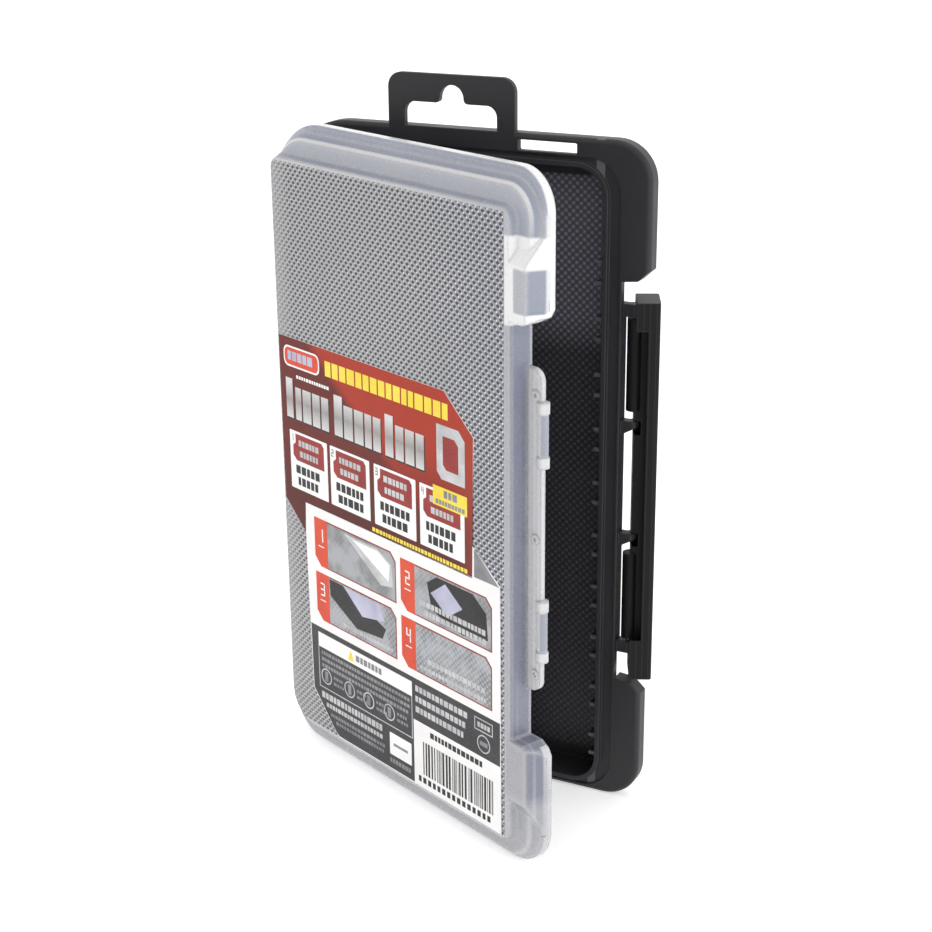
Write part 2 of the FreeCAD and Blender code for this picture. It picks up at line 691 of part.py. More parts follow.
def lid_hinge_side(body):
    """Notches for the tray knuckles, then the lid's own knuckles between them."""
    for group, level in (("lower", "hinge_low"), ("upper", "hinge_high")):
        sketch = new_sketch(body, group + "_notch", "XZ_Plane", 0.5)
        for i in (0, 2, 4):
            add_rectangle(sketch, -1, "hinge_wall_x",
                          "%s + %d * knuckle_pitch - knuckle_play" % (level, i),
                          "%s + %d * knuckle_pitch + knuckle_length + knuckle_play" % (level, i))
        cut(body, group + "_notches", sketch, "knuckle_notch + 0.5", "-Y")
        knuckles(body, group, level, "lid_bore_radius", -1)


def build_lid():
    body = new_body("clear_lid", ("hinge_x", "0", "-lid_open_angle"))
    lid_shell(body)
    lid_corner_bosses(body)
    lid_hollow(body)
    lid_latch_side(body)
    lid_latch_strip(body)
    lid_hinge_side(body)


def build_label():
    """Cut-corner sticker on the flat of the roof."""
    body = new_body("lid_label", ("hinge_x", "0", "-lid_open_angle"))
    sketch = new_sketch(body, "sticker_outline", "XZ_Plane", "-lid_depth")
    add_polygon(sketch, [(5.0, 72.7), (13.9, 64.9), (14.7, 18.9), (24.4, 8.6), (26.0, 7.5),
                         (94.2, 7.5), (94.0, 74.7), (83.7, 82.3), (84.6, 109.8), (73.8, 118.9),
                         (4.8, 118.9)])
    pad(body, "sticker", sketch, "label_depth", "-Y")


# ---------------------------------------------------------------- latch

def build_latch():
    body = new_body("side_latch", ("pivot_x", "pivot_y", "latch_open_angle"))
    sketch = new_sketch(body, "spine_profile", "XY_Plane", "latch_low")
    add_polygon(sketch, [("latch_right", "-latch_front"), ("latch_right", "latch_back"),
                         ("latch_left", "latch_back"), ("latch_left", "grip_front"),
                         ("latch_right - latch_shell", "grip_front"),
                         ("latch_right - latch_shell", "-latch_front + latch_lip"),
                         ("latch_lip_x", "-latch_front + latch_lip"),
                         ("latch_lip_x", "-latch_front")])
    pad(body, "spine", sketch, "latch_high - latch_low", "+Z")

    for name, level in (("lower", "latch_low"), ("upper", "latch_high - latch_cap")):
        sketch = new_sketch(body, name + "_cap_profile", "XY_Plane", level)
        add_rectangle(sketch, "latch_left", "latch_right", "-latch_front", "latch_back")
        cap = pad(body, name + "_cap", sketch, "latch_cap", "+Z")
    right = value("latch_right")
    corners = [(right, -value("latch_front")), (right, value("latch_back"))]
    round_edges(body, "outer_corners", cap, "latch_round", edge_along(2, *corners))

    for name, low, high in (("lower", "latch_low", "face_end_low"),
                            ("upper", "face_end_high", "latch_high")):
        sketch = new_sketch(body, name + "_face_profile", "XY_Plane", low)
        add_rectangle(sketch, "latch_left", "latch_lip_x + 0.3",
                      "-latch_front", "-latch_front + latch_lip")
        pad(body, name + "_face_end", sketch, "%s - %s" % (high, low), "+Z")

    sketch = new_sketch(body, "lug_recess_circle", "XY_Plane", "lug_low - lug_play")
    add_circle(sketch, "pivot_x", "pivot_y", "lug_recess_radius")
    recess = cut(body, "lug_recess", sketch, "lug_height + lug_play + 0.2", "+Z")
    repeat_up(body, "lug_recesses", [recess], "4", "lug_pitch")

    sketch = new_sketch(body, "arm_eye_profile", "XY_Plane", "arm_low")
    add_circle(sketch, "pivot_x", "pivot_y", "arm_radius")
    eye = pad(body, "arm_eye", sketch, "arm_length", "+Z")
    repeat_up(body, "arms", [eye], "2", "arm_spacing")

    for name, level in (("lower", "arm_low - arm_bore_run"),
                        ("upper", "arm_low + arm_spacing + arm_length - arm_bore_depth")):
        sketch = new_sketch(body, name + "_arm_hole", "XY_Plane", level)
        add_circle(sketch, "pivot_x", "pivot_y", "arm_bore_radius")
        cut(body, name + "_arm_bore", sketch, "arm_bore_depth + arm_bore_run", "+Z")

    sketch = new_sketch(body, "first_core", "XZ_Plane", "latch_back")
    add_rectangle(sketch, "core_left", "core_right", "latch_low + 5", "latch_low + 5 + core_length")
    core = cut(body, "core_pocket", sketch, "core_depth", "-Y")
    repeat_up(body, "core_pockets", [core], "5", "core_pitch")


# ---------------------------------------------------------------- small pieces

def build_pin(label, x, y, level, length, radius):
    body = new_body(label)
    sketch = new_sketch(body, "pin_circle", "XY_Plane", level)
    add_circle(sketch, x, y, radius)
    shaft = pad(body, "pin_shaft", sketch, length, "+Z")
    chamfer = body.newObject("PartDesign::Chamfer", "pin_ends")
    chamfer.Base = (shaft, ["Edge%d" % i for i, edge in enumerate(shaft.Shape.Edges, start=1)
                            if len(edge.Vertexes) == 1])
    chamfer.Size = 0.15
    finish_feature(body, chamfer, lambda change: change < 0)


def build_pins():
    for name, level in (("lower", "hinge_low"), ("upper", "hinge_high")):
        build_pin("hinge_pin_" + name, "hinge_x", 0,
                  level + " + (5 * knuckle_pitch - 0.4 - hinge_pin_length) / 2",
                  "hinge_pin_length", "hinge_pin_radius")
    build_pin("latch_pin_lower", "pivot_x", "pivot_y", "lug_low + 0.1",
              "latch_pin_length", "latch_pin_radius")
    build_pin("latch_pin_upper", "pivot_x", "pivot_y",
              "lug_low + 3 * lug_pitch + lug_height - 0.1 - latch_pin_length",
              "latch_pin_length", "latch_pin_radius")


def build_divider(label, lane, slot):
    """Lift-out plate with thick ends that drop between a pair of slot ribs."""
    body = new_body(label)
    left = lane_left(lane) + " + plate_side_gap"
    right = lane_left(lane) + " + %s - plate_side_gap" % lane_width()
    middle = "rib_first + %d * rib_pitch" % slot
    half_end, half_plate = "plate_end_width / 2", "plate_width / 2"
    inner_left, inner_right = left + " + plate_end_reach", right + " - plate_end_reach"
    sketch = new_sketch(body, "plate_outline", "XZ_Plane", "tray_depth - wall")
    low_end, high_end = "%s - %s" % (middle, half_end), "%s + %s" % (middle, half_end)
    low_web, high_web = "%s - %s" % (middle, half_plate), "%s + %s" % (middle, half_plate)
    add_polygon(sketch, [(left, low_end), (inner_left, low_end), (inner_left, low_web),
                         (inner_right, low_web), (inner_right, low_end), (right, low_end),
                         (right, high_end), (inner_right, high_end), (inner_right, high_web),
                         (inner_left, high_web), (inner_left, high_end), (left, high_end)])
    pad(body, "plate", sketch, "tray_depth - wall - plate_drop", "-Y")


def build_dividers():
    """Five plates in the hinge-side lane and five, staggered, in the middle lane."""
    for i in range(5):
        build_divider("divider_%02d" % (i + 1), 0, 2 * i + 1)
        build_divider("divider_%02d" % (i + 6), 1, 2 * i)


# ---------------------------------------------------------------- export

def export_parts():
    os.makedirs("parts", exist_ok=True)
    for body in parts:
        shape = body.Shape
        if "Invalid" in body.State or shape.isNull() or not shape.isValid():
            raise RuntimeError("bad shape: " + body.Label)
        if len(shape.Solids) != 1:
            raise RuntimeError("%s has %d solids" % (body.Label, len(shape.Solids)))
        shape.exportStep(os.path.join("parts", body.Label + ".step"))
        box = shape.BoundBox
        print("%-18s %9.1f mm3  x %.2f..%.2f  y %.2f..%.2f  z %.2f..%.2f" % (
            body.Label, shape.Volume, box.XMin, box.XMax, box.YMin, box.YMax, box.ZMin, box.ZMax))


fill_sheet()
build_tray()
build_lid()
build_label()
build_latch()
build_pins()
build_dividers()
doc.recompute()
export_parts()
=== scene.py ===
import math

import bmesh
import bpy
from mathutils import Matrix, Vector


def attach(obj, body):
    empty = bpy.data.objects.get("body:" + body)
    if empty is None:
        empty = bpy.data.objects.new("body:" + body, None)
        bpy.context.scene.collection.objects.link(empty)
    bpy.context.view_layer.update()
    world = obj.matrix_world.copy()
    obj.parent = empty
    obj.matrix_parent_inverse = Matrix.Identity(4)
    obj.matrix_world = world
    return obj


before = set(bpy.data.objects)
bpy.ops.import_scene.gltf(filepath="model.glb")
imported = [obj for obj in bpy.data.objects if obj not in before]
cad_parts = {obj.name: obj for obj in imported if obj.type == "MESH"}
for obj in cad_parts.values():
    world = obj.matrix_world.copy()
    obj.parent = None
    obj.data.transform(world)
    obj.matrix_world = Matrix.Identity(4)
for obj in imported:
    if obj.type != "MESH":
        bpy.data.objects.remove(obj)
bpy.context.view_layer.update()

MM = 0.001

# Closed-case coordinates in mm: X from the hinge side, Y = 0 on the seam, Z up.
ORIGIN = Vector((52.5, 2.5, 0.0))
HINGE = Vector((1.5, 0.0, 0.0))
LID_ANGLE = math.radians(-22.9)
PIVOT = Vector((99.0, 2.6, 0.0))
LATCH_ANGLE = math.radians(24.8)


def swung(pivot, angle):
    """Matrix from closed-case mm to the row frame, for a body standing open by angle."""
    shift = Matrix.Translation(pivot - ORIGIN) @ Matrix.Rotation(angle, 4, "Z")
    return Matrix.Scale(MM, 4) @ shift @ Matrix.Translation(-pivot)


BASE = swung(Vector((0, 0, 0)), 0.0)
LID = swung(HINGE, LID_ANGLE)
LATCH = swung(PIVOT, LATCH_ANGLE)

# Landmarks in closed-case mm: ranges along X, Y or Z.
OPEN_LANE_X = (66.5, 87.8)
OPEN_LANE_Z = (7.0, 164.0)
OPEN_LANE_FLOOR = (9.6, 10.4)
RIB_TIPS_X = (88.9, 91.1)
RIB_TIPS_Y = (0.4, 1.1)
LATCH_FACE_Z = (20.0, 142.0)
LATCH_STRIP_Z = (47.0, 130.0)
LOWER_BARREL_Z = (58.9, 69.0)
UPPER_BARREL_Z = (108.3, 118.4)
CORNER_BOX_Z = (139.5, 160.0)
STEP_SLOPE_Y = (-4.95, -4.2)
ROOF_FIELD_X = (4.6, 95.4)
ROOF_FIELD_Z = (7.4, 165.2)

# Printed film, in mm in front of the seam: sticker face and the four layers of print on it.
TOP = 7.12
L1, L2, L3, L4 = TOP + 0.02, TOP + 0.04, TOP + 0.06, TOP + 0.08
PLATE_THICKNESS = 0.02
BAR_THICKNESS = 0.012

# Pitch in mm of the staggered dots, across and up.
ROOF_PITCH = (2.053, 2.004)
FLOOR_PITCH = (2.05, 2.0)
GROOVE_PITCH = 1.55


# ---------------------------------------------------------------- node helpers

class Nodes:
    """Small wrapper that builds one material's node tree."""

    def __init__(self, name):
        self.material = bpy.data.materials.new(name)
        self.material.use_nodes = True
        self.tree = self.material.node_tree
        self.tree.nodes.clear()
        self.output = self.tree.nodes.new("ShaderNodeOutputMaterial")
        self.shader = self.tree.nodes.new("ShaderNodeBsdfPrincipled")
        self.link(self.shader.outputs[0], self.output.inputs["Surface"])

    def link(self, a, b):
        self.tree.links.new(a, b)

    def put(self, socket, value):
        if isinstance(value, bpy.types.NodeSocket):
            self.link(value, socket)
        else:
            socket.default_value = value

    def math(self, operation, a, b=0.0):
        node = self.tree.nodes.new("ShaderNodeMath")
        node.operation = operation
        self.put(node.inputs[0], a)
        self.put(node.inputs[1], b)
        return node.outputs[0]

    def noise(self, vector, scale, detail=3.0, rough=0.5):
        node = self.tree.nodes.new("ShaderNodeTexNoise")
        self.put(node.inputs["Vector"], vector)
        node.inputs["Scale"].default_value = scale
        node.inputs["Detail"].default_value = detail
        node.inputs["Roughness"].default_value = rough
        return node.outputs["Fac"]

    def spread(self, value, low, high, new_low, new_high):
        node = self.tree.nodes.new("ShaderNodeMapRange")
        node.clamp = True
        self.put(node.inputs["Value"], value)
        self.put(node.inputs["From Min"], low)
        self.put(node.inputs["From Max"], high)
        self.put(node.inputs["To Min"], new_low)
        self.put(node.inputs["To Max"], new_high)
        return node.outputs[0]

    def mix(self, factor, a, b):
        node = self.tree.nodes.new("ShaderNodeMix")
        node.data_type = "RGBA"
        self.put(node.inputs[0], factor)
        self.put(node.inputs[6], a if isinstance(a, bpy.types.NodeSocket) else (*a, 1.0))
        self.put(node.inputs[7], b if isinstance(b, bpy.types.NodeSocket) else (*b, 1.0))
        return node.outputs[2]

    def bump(self, height, strength, distance, normal=None):
        node = self.tree.nodes.new("ShaderNodeBump")
        node.inputs["Strength"].default_value = strength
        node.inputs["Distance"].default_value = distance
        self.put(node.inputs["Height"], height)
        if normal is not None:
            self.link(normal, node.inputs["Normal"])
        return node.outputs[0]

    def bevel(self, radius):
        node = self.tree.nodes.new("ShaderNodeBevel")
        node.samples = 4
        node.inputs["Radius"].default_value = radius
        return node.outputs[0]

    def case_vector(self, place):
        """Closed-case coordinates in mm as one vector; object space, so it rides with the body."""
        texture = self.tree.nodes.new("ShaderNodeTexCoord")
        inverse = place.inverted()
        mapping = self.tree.nodes.new("ShaderNodeMapping")
        mapping.vector_type = "POINT"
        mapping.inputs["Location"].default_value = inverse.to_translation()
        mapping.inputs["Rotation"].default_value = inverse.to_euler()
        mapping.inputs["Scale"].default_value = (1000.0, 1000.0, 1000.0)
        self.link(texture.outputs["Object"], mapping.inputs["Vector"])
        return mapping.outputs[0]

    def split(self, vector):
        node = self.tree.nodes.new("ShaderNodeSeparateXYZ")
        self.link(vector, node.inputs[0])
        return node.outputs[0], node.outputs[1], node.outputs[2]

    def rises(self, value, low, high):
        return self.spread(value, low, high, 0.0, 1.0)

    def falls(self, value, low, high):
        return self.spread(value, low, high, 1.0, 0.0)

    def inside(self, value, low, high, soft=0.3):
        """1 between low and high, 0 outside, with a soft edge."""
        rise = self.rises(value, low - soft, low + soft)
        return self.product(rise, self.falls(value, high - soft, high + soft))

    def product(self, *values):
        total = values[0]
        for value in values[1:]:
            total = self.math("MULTIPLY", total, value)
        return total

    def greatest(self, *values):
        most = values[0]
        for value in values[1:]:
            most = self.math("MAXIMUM", most, value)
        return most

    def wave(self, value, pitch):
        return self.math("COSINE", self.product(value, 2 * math.pi / pitch))

    def lattice(self, u, v, pitch):
        """Diagonal lattice of dots: cos(u) * cos(v) shape from -1 to 1."""
        return self.product(self.wave(u, pitch[0]), self.wave(v, pitch[1]))

    def normal_y(self, place):
        """Y part of the normal in closed-case axes: -1 faces out of the lid, 1 into the case."""
        texture = self.tree.nodes.new("ShaderNodeTexCoord")
        mapping = self.tree.nodes.new("ShaderNodeMapping")
        mapping.vector_type = "VECTOR"
        mapping.inputs["Rotation"].default_value = place.inverted().to_euler()
        self.link(texture.outputs["Normal"], mapping.inputs["Vector"])
        return self.split(mapping.outputs[0])[1]

    def edge_mask(self, bevelled, low, high):
        """0 on flat faces, 1 on rounded-over edges, from bevelled against true normal."""
        geometry = self.tree.nodes.new("ShaderNodeNewGeometry")
        dot = self.tree.nodes.new("ShaderNodeVectorMath")
        dot.operation = "DOT_PRODUCT"
        self.link(geometry.outputs["True Normal"], dot.inputs[0])
        self.link(bevelled, dot.inputs[1])
        return self.spread(dot.outputs["Value"], low, high, 1.0, 0.0)

    def plain(self, **values):
        for name, value in values.items():
            self.put(self.shader.inputs[name.replace("_", " ")], value)


# ---------------------------------------------------------------- materials

def moulded_black(name, place, low, high, gloss, floor_texture=False):
    """Satin black moulding with a painted highlight on its edges. The tray's open lane has a dotted
    floor with painted light on it, and the latch has fine grooves on its front."""
    n = Nodes(name)
    vector = n.case_vector(place)
    x, y, z = n.split(vector)
    grain = n.noise(vector, 2.4, 4.0, 0.6)
    cloud = n.noise(vector, 0.045, 2.0, 0.5)
    tone = n.mix(cloud, low, high)
    height = n.product(grain, 0.18)
    rough = n.spread(cloud, 0.35, 0.65, 0.42, 0.52)
    if floor_texture:
        top, underside = OPEN_LANE_FLOOR
        deep = n.product(n.rises(y, top - 0.3, top), n.math("LESS_THAN", y, underside))
        lane = n.product(n.inside(x, *OPEN_LANE_X), n.inside(z, *OPEN_LANE_Z))
        floor = n.product(deep, lane)
        bumps = n.product(n.rises(n.lattice(x, z, FLOOR_PITCH), -0.1, 0.6), floor)
        # painted light: the dotted floor is painted lighter towards the top of the lane, and the
        # dots get a painted highlight that fades lower down
        lit = n.spread(z, 118.0, 128.0, 0.25, 1.0)
        height = n.math("ADD", height, n.product(bumps, 1.6))
        lit_floor = n.product(floor, n.spread(lit, 0.3, 1.0, 0.0, 0.6))
        tone = n.mix(lit_floor, tone, (0.120, 0.117, 0.138))
        tone = n.mix(n.product(bumps, lit), tone, (0.215, 0.215, 0.250))
        # painted highlight on the tips of the ribs
        rib_tip_highlight = n.product(n.inside(x, *RIB_TIPS_X, 0.05), n.inside(y, *RIB_TIPS_Y, 0.05))
        tone = n.mix(rib_tip_highlight, tone, (0.110, 0.110, 0.115))
    else:
        front = n.falls(y, -2.9, -2.7)
        grooves = n.product(n.rises(n.wave(x, GROOVE_PITCH), 0.80, 0.98), front)
        height = n.math("SUBTRACT", height, n.product(grooves, 0.8))
        tone = n.mix(n.product(grooves, 0.55), tone, (0.030, 0.030, 0.036))
    edge = n.bevel(0.0005)
    # painted highlight: edges of the black moulding are painted lighter
    edge_highlight = n.product(n.edge_mask(edge, 0.86, 0.985), 0.6)
    tone = n.mix(edge_highlight, tone, (0.070, 0.070, 0.076))
    n.plain(Base_Color=tone, Roughness=rough, Normal=n.bump(height, 0.35, 0.00012, edge))
    n.shader.inputs["Specular IOR Level"].default_value = gloss
    return n.material


def lid_wall_tone(n, x, y, z, facing, cloud):
    """Walls, step and rim of the lid: blue-grey on the flats, with painted highlights from pale to
    white on the edges.
    """
    # painted light and shade: the walls are painted lighter and greyer low down, darker and bluer
    # higher up
    low_down = n.falls(z, 4.0, 60.0)
    upper_wall = n.mix(cloud, (0.300, 0.325, 0.405), (0.365, 0.390, 0.470))
    lower_wall = n.mix(cloud, (0.400, 0.405, 0.432), (0.470, 0.475, 0.502))
    tone = n.mix(low_down, upper_wall, lower_wall)
    # painted shade: the side wall is painted darker and bluer beside the latch
    shade_beside_latch = n.product(n.rises(x, 95.6, 96.2), n.inside(z, *LATCH_FACE_Z, 2.0))
    tone = n.mix(n.product(shade_beside_latch, 0.8), tone, (0.200, 0.213, 0.280))
    # painted highlight on the edges, except on inner faces, where a bevel this wide would reach
    # through the wall
    outward = n.falls(facing, 0.3, 0.6)
    pale = n.product(n.edge_mask(n.bevel(0.0018), 0.90, 0.985), outward)
    tone = n.mix(n.product(pale, 0.62), tone, (0.80, 0.79, 0.785))
    # painted highlight on the slope of the step, strong along the top edge and a little along the
    # bottom one
    along_ends = n.greatest(n.rises(z, 158.0, 168.0), n.product(low_down, 0.35))
    slope = n.product(n.inside(y, *STEP_SLOPE_Y, 0.12), along_ends)
    tone = n.mix(n.product(slope, 0.9), tone, (0.80, 0.79, 0.785))
    # painted highlight along the rounded roof edge, fading towards the right
    border = n.product(n.falls(y, -6.9, -6.7), n.spread(x, 60.0, 97.0, 0.85, 0.45))
    tone = n.mix(border, tone, (0.70, 0.69, 0.69))
    # painted highlight: the outer rim of the flange is painted almost white, fainter low down
    sideways = n.falls(n.math("ABSOLUTE", facing), 0.35, 0.6)
    rim = n.product(sideways, n.rises(y, -2.7, -2.2))
    ends = n.greatest(n.rises(z, 165.0, 166.0), n.falls(z, 9.0, 10.0))
    outer = n.greatest(n.rises(x, 103.0, 103.3), n.product(ends, n.rises(x, 9.0, 11.0)))
    outer = n.product(outer, n.spread(z, 20.0, 50.0, 0.30, 1.0))
    return n.mix(n.product(rim, outer), tone, (0.93, 0.93, 0.93))


def latch_strip_tone(n, x, y, z, tone):
    """Streaked strip with painted shade on its two barrels, and a painted white highlight along the
    border of the raised corner box.
    """
    strip = n.product(n.rises(x, 97.6, 97.9), n.inside(z, *LATCH_STRIP_Z), n.rises(y, -2.6, -2.4))
    streak = n.rises(n.math("SINE", n.product(x, 4.2)), -0.4, 0.8)
    strip_tone = n.mix(n.product(streak, 0.3), (0.76, 0.755, 0.76), (0.47, 0.49, 0.56))
    barrels = n.greatest(n.inside(z, *LOWER_BARREL_Z), n.inside(z, *UPPER_BARREL_Z))
    # painted shade on the far side of each barrel
    barrel_shade = n.product(barrels, n.rises(x, 102.0, 102.5))
    strip_tone = n.mix(n.product(barrel_shade, 0.85), strip_tone, (0.30, 0.325, 0.40))
    tone = n.mix(strip, tone, strip_tone)
    # painted highlight along the edges of the raised corner box
    border = n.greatest(n.falls(x, 98.4, 98.8), n.falls(z, 142.6, 143.0), n.rises(z, 152.6, 153.2))
    box = n.product(n.inside(z, *CORNER_BOX_Z), n.rises(x, 95.5, 95.7), n.falls(y, -1.6, -1.4))
    return n.mix(n.product(box, border), tone, (0.93, 0.93, 0.93))


def roof_lattice(n, x, y, z, cloud):
    """Staggered wide dots with a small glint beside each: mask, dot shape and colour."""
    area = n.product(n.inside(x, *ROOF_FIELD_X, 0.15), n.inside(z, *ROOF_FIELD_Z, 0.15))
    field = n.product(n.falls(y, -6.95, -6.85), area)
    widened = n.product(n.wave(z, ROOF_PITCH[1] / 2), 0.28)
    dots = n.math("ADD", n.lattice(x, z, ROOF_PITCH), widened)
    shape = n.rises(dots, -0.15, 0.40)
    glint = n.lattice(n.math("SUBTRACT", x, 0.52), n.math("ADD", z, 0.40), ROOF_PITCH)
    glint = n.product(n.rises(glint, 0.62, 0.92), n.spread(cloud, 0.3, 0.6, 0.6, 1.0),
                      n.spread(x, 60.0, 90.0, 0.7, 1.0))
    low_down = n.falls(z, 4.0, 60.0)
    # painted light: near the left edge, and lower down a little further in, the dots are painted
    # paler
    washed_by_light = n.greatest(n.spread(x, 4.6, 12.0, 0.70, 0.0),
                        n.product(n.spread(x, 12.0, 24.0, 0.35, 0.0), low_down))
    # painted shade: land and dots are painted darker and bluer towards the right
    side = n.rises(x, 60.0, 95.0)
    land = n.mix(side, (0.350, 0.350, 0.362), (0.30, 0.305, 0.345))
    pit = n.mix(side, (0.046, 0.046, 0.052), (0.040, 0.042, 0.054))
    pit = n.mix(washed_by_light, pit, (0.42, 0.41, 0.40))
    return field, shape, n.mix(glint, n.mix(shape, land, pit), (0.88, 0.88, 0.90))


def clear_plastic(name, place):
    """Frosted moulded plastic with painted highlights on its edges; the roof carries a fine
    staggered lattice.
    """
    n = Nodes(name)
    vector = n.case_vector(place)
    x, y, z = n.split(vector)
    cloud = n.noise(vector, 0.05, 2.0, 0.5)
    grain = n.noise(vector, 0.35, 2.0, 0.5)
    tone = lid_wall_tone(n, x, y, z, n.normal_y(place), cloud)
    tone = latch_strip_tone(n, x, y, z, tone)
    field, shape, lattice_tone = roof_lattice(n, x, y, z, cloud)
    tone = n.mix(field, tone, lattice_tone)
    pits = n.product(shape, field, 0.8)
    height = n.math("SUBTRACT", n.product(grain, 0.02), pits)
    n.plain(Base_Color=tone, Roughness=n.spread(grain, 0.3, 0.7, 0.22, 0.30),
            Normal=n.bump(height, 0.35, 0.0002, n.bevel(0.0010)),
            Transmission_Weight=n.spread(field, 0.0, 1.0, 0.20, 0.03))
    n.shader.inputs["IOR"].default_value = 1.45
    return n.material


def steel(name):
    """Drawn wire with fine streaks."""
    n = Nodes(name)
    streak = n.noise(n.case_vector(BASE), 1.2, 4.0, 0.6)
    n.plain(Base_Color=n.mix(streak, (0.50, 0.50, 0.51), (0.66, 0.66, 0.67)), Metallic=1.0,
            Roughness=n.spread(streak, 0.3, 0.7, 0.24, 0.4),
            Normal=n.bump(streak, 0.15, 0.00005))
    return n.material


def divider_plastic(name):
    """Translucent moulded plate with a faint grain."""
    n = Nodes(name)
    vector = n.case_vector(BASE)
    cloud = n.noise(vector, 0.12, 3.0, 0.5)
    grain = n.noise(vector, 2.0, 3.0, 0.5)
    n.plain(Base_Color=n.mix(cloud, (0.60, 0.61, 0.62), (0.74, 0.75, 0.76)),
            Roughness=n.spread(grain, 0.3, 0.7, 0.25, 0.38), Transmission_Weight=0.6,
            Normal=n.bump(grain, 0.2, 0.0001, n.bevel(0.0003)))
    n.shader.inputs["IOR"].default_value = 1.49
    return n.material


def ink(name, low, high, roughness=0.3, scale=0.12):
    """Printed film: two close tones, slight unevenness and a film gloss."""
    n = Nodes(name)
    vector = n.case_vector(LID)
    cloud = n.noise(vector, scale, 3.0, 0.55)
    grain = n.noise(vector, 3.0, 2.0, 0.5)
    n.plain(Base_Color=n.mix(n.rises(cloud, 0.35, 0.65), low, high),
            Roughness=n.spread(grain, 0.3, 0.7, roughness - 0.05, roughness + 0.07),
            Normal=n.bump(grain, 0.12, 0.00005))
    n.shader.inputs["Specular IOR Level"].default_value = 0.22
    return n.material


def red_panel_ink(name):
    """Red print: brighter diagonal field, brown towards the left and the bottom."""
    n = Nodes(name)
    vector = n.case_vector(LID)
    x, y, z = n.split(vector)
    cloud = n.noise(vector, 0.07, 3.0, 0.5)
    grain = n.noise(vector, 3.0, 2.0, 0.5)
    slant = n.math("ADD", n.product(x, 0.74), z)
    bright = n.product(n.rises(slant, 130.5, 134.5), n.rises(z, 82.0, 102.0))
    brown = n.mix(cloud, (0.125, 0.026, 0.022), (0.180, 0.038, 0.030))
    red = n.mix(cloud, (0.37, 0.040, 0.022), (0.44, 0.053, 0.028))
    tone = n.mix(bright, brown, red)
    lower = n.product(n.falls(z, 76.0, 90.0), 0.55)
    tone = n.mix(lower, tone, (0.075, 0.026, 0.024))
    right = n.product(n.rises(x, 78.0, 84.0), 0.5)
    tone = n.mix(right, tone, (0.34, 0.06, 0.036))
    n.plain(Base_Color=tone, Roughness=n.spread(grain, 0.3, 0.7, 0.30, 0.40),
            Normal=n.bump(grain, 0.12, 0.00005))
    n.shader.inputs["Specular IOR Level"].default_value = 0.12
    return n.material


def headline_ink(name):
    """Silver print that darkens in a band a third of the way up."""
    n = Nodes(name)
    vector = n.case_vector(LID)
    z = n.split(vector)[2]
    band = n.product(n.rises(z, 96.5, 101.5), n.falls(z, 101.5, 106.5))
    tone = n.mix(band, (0.64, 0.63, 0.62), (0.24, 0.22, 0.21))
    grain = n.noise(vector, 0.8, 2.0, 0.5)
    n.plain(Base_Color=n.mix(n.product(grain, 0.2), tone, (0.8, 0.8, 0.8)), Roughness=0.28,
            Normal=n.bump(grain, 0.1, 0.00005))
    return n.material


def scene_tile_ink(name, bias):
    """Blurred grey print that fills a picture tile without showing anything real."""
    n = Nodes(name)
    vector = n.case_vector(LID)
    x, y, z = n.split(vector)
    big = n.noise(vector, 0.11 + bias * 0.02, 3.0, 0.6)
    weave = n.rises(n.lattice(x, z, (1.7, 1.7)), -0.2, 0.6)
    tone = n.mix(n.rises(big, 0.42, 0.58), (0.20, 0.205, 0.21), (0.36, 0.37, 0.39))
    tone = n.mix(n.product(weave, 0.1 + 0.5 * bias), tone, (0.50, 0.53, 0.58))
    n.plain(Base_Color=tone, Roughness=0.3, Normal=n.bump(big, 0.1, 0.00005))
    return n.material


BLACK = moulded_black("tray_black", BASE, (0.0200, 0.0190, 0.0214), (0.0285, 0.0275, 0.0302),
                      0.32, floor_texture=True)
LATCH_BLACK = moulded_black("latch_black", LATCH, (0.0050, 0.0049, 0.0056),
                            (0.0085, 0.0083, 0.0092), 0.17)
CLEAR = clear_plastic("lid_frosted", LID)
STEEL = steel("pin_steel")
DIVIDER = divider_plastic("divider_frosted")
RED = red_panel_ink("print_red")
WHITE = ink("print_white", (0.88, 0.87, 0.86), (0.93, 0.92, 0.91))
BRIGHT = ink("print_bright", (0.90, 0.90, 0.89), (0.95, 0.95, 0.94))
SILVER = headline_ink("print_silver")
PLATE_GREY = ink("print_plate_grey", (0.46, 0.46, 0.47), (0.62, 0.62, 0.63), 0.28, 0.2)
CHARCOAL = ink("print_charcoal", (0.040, 0.038, 0.042), (0.054, 0.052, 0.056))
GREY = ink("print_grey", (0.20, 0.20, 0.21), (0.30, 0.30, 0.31))
DARK = ink("print_dark", (0.022, 0.020, 0.021), (0.034, 0.032, 0.033))
SCARLET = ink("print_scarlet", (0.66, 0.065, 0.025), (0.74, 0.085, 0.035))
CRIMSON = ink("print_crimson", (0.27, 0.030, 0.026), (0.34, 0.040, 0.034))
YELLOW = ink("print_yellow", (0.86, 0.66, 0.05), (0.92, 0.74, 0.09))
LILAC = ink("print_lilac", (0.42, 0.42, 0.56), (0.56, 0.56, 0.70))
TILES = [scene_tile_ink("print_tile_%d" % (i + 1), i / 3.0) for i in range(4)]

FINISHES = {"clear_lid": CLEAR, "base_tray": BLACK, "side_latch": LATCH_BLACK, "lid_label": WHITE}
for label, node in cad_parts.items():
    chosen = FINISHES.get(label)
    if chosen is None:
        chosen = STEEL if "pin" in label else DIVIDER
    node.data.materials.clear()
    node.data.materials.append(chosen)


# ---------------------------------------------------------------- printed pieces

